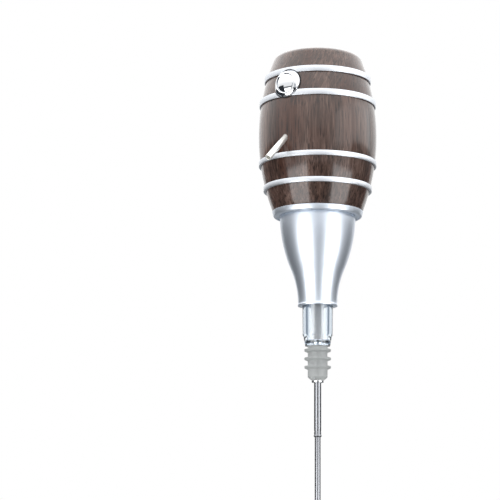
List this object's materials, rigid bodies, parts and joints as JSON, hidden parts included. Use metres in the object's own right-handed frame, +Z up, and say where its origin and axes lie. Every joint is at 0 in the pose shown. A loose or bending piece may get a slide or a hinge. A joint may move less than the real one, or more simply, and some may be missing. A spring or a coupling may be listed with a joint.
{
  "type": "electric drink pourer",
  "caption": "Barrel-shaped electric pourer on a cone and clear stopper, with push button, angled spout and telescopic suction tube.",
  "frame": {"origin": "on the axis at the foot of the clear neck, where the stopper's taper starts", "axes": "+Z up the axis from the suction tube to the cover, -Y to the front where button and spout are, +X to the right as seen from the front"},
  "size_m": [0.0874, 0.11, 0.5022],
  "materials": {
    "wood_print": "moulded shell with a dark printed wood grain under a clear glossy coat",
    "satin_silver": "moulded piece with satin silver plating",
    "chrome_plate": "polished chrome plate",
    "bright_steel": "bright drawn stainless tube",
    "contact_steel": "plain nickel-plated steel",
    "spring_steel": "nickel-plated spring wire",
    "motor_can": "drawn can, plain",
    "zinc": "bright zinc-plated steel",
    "clear_plastic": "clear polished acrylic",
    "silicone": "translucent pale silicone",
    "hose_silicone": "soft translucent silicone hose",
    "black_plastic": "fine-grained black moulding",
    "white_plastic": "plain off-white moulding",
    "circuit_board": "green solder resist",
    "cell_jacket": "plain dark jacket, unmarked",
    "lead_jacket": "soft insulated lead"
  },
  "bodies": {
    "housing": {"barrel_lower": "wood_print", "barrel_upper": "wood_print", "hoop_upper": "satin_silver", "hoop_lower": "satin_silver", "hoop_bottom": "satin_silver", "base_ring": "satin_silver", "cone_skirt": "satin_silver", "clear_neck": "clear_plastic", "neck_seal": "silicone", "air_manifold": "white_plastic", "neck_clamp_ring": "black_plastic", "tube_ferrule": "bright_steel", "riser_sleeve": "clear_plastic", "stopper_plug": "silicone", "suction_tube_upper": "bright_steel", "pump_chassis": "black_plastic", "chassis_screw_1": "zinc", "chassis_screw_2": "zinc", "chassis_screw_3": "zinc", "pump_head": "black_plastic", "pump_diaphragm": "silicone", "wobble_plate": "white_plastic", "pump_motor": "motor_can", "check_valve": "white_plastic", "air_hose_lower": "hose_silicone", "air_hose_upper": "hose_silicone", "spout_elbow": "white_plastic", "spout_hose": "hose_silicone", "spout_tube": "bright_steel", "battery_holder": "black_plastic", "battery_1": "cell_jacket", "battery_2": "cell_jacket", "battery_3": "cell_jacket", "battery_4": "cell_jacket", "battery_spring_1": "spring_steel", "battery_spring_2": "spring_steel", "battery_spring_3": "spring_steel", "battery_spring_4": "spring_steel", "holder_screw_1": "zinc", "holder_screw_2": "zinc", "holder_screw_3": "zinc", "holder_screw_4": "zinc", "control_board": "circuit_board", "board_screw_1": "zinc", "board_screw_2": "zinc", "button_bezel": "chrome_plate", "bezel_nut": "zinc", "switch_body": "black_plastic", "motor_lead_1": "lead_jacket", "motor_lead_2": "lead_jacket"},
    "battery_cover": {"battery_cover": "wood_print", "cover_contact": "contact_steel", "hoop_top": "satin_silver"},
    "button": {"button_cap": "chrome_plate", "switch_plunger": "white_plastic"},
    "suction_tube": {"suction_tube_lower": "bright_steel"},
    "pump_rotor": {"crank_shaft": "contact_steel"}
  },
  "joints": [
    {"name": "cover_lift", "type": "slide", "parent": "housing", "child": "battery_cover", "axis": [0, 0, 1], "range_m": [0, 0.03]},
    {"name": "button_press", "type": "slide", "parent": "housing", "child": "button", "axis": [0, 1, 0], "range_m": [0, 0.0018], "stiffness_N_per_m": 600, "springref_m": -0.001},
    {"name": "tube_telescope", "type": "slide", "parent": "housing", "child": "suction_tube", "axis": [0, 0, 1], "range_m": [0, 0.08]},
    {"name": "crank_spin", "type": "hinge", "parent": "housing", "child": "pump_rotor", "pos_m": [0, 0.016, 0.12], "axis": [0, 0, 1], "continuous": true}
  ]
}
